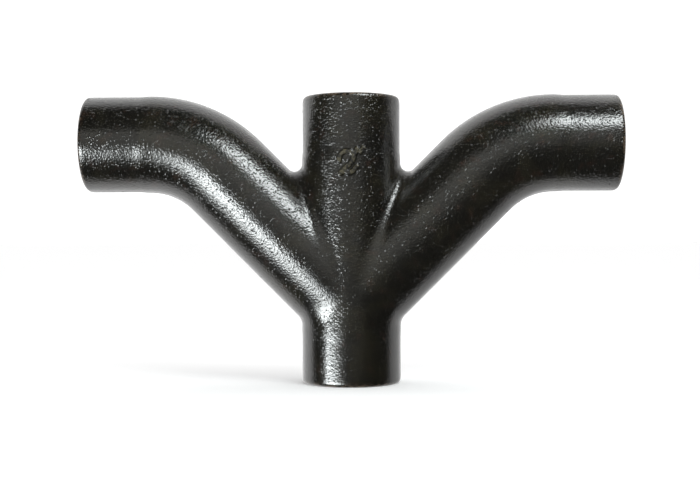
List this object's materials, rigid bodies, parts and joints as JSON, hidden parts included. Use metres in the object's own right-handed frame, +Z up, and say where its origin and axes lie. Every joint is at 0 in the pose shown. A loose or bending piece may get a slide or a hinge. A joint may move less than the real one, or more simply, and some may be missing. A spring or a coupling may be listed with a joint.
{
  "type": "double combination wye",
  "caption": "Black cast iron drain fitting: a straight upright run, with a branch on each side that leaves it at 45 degrees and bends out level. All ends are plain spigots.",
  "frame": {"origin": "centre of the run's lower end face, on which the fitting stands", "axes": "+Z up along the run, +X along the right branch's outlet, +Y away from the raised size numeral"},
  "size_m": [0.322, 0.059, 0.1744],
  "materials": {
    "black_coated_iron": "sand cast, black bitumen coating"
  },
  "bodies": {
    "root": {"wye_casting": "black_coated_iron"}
  },
  "joints": []
}
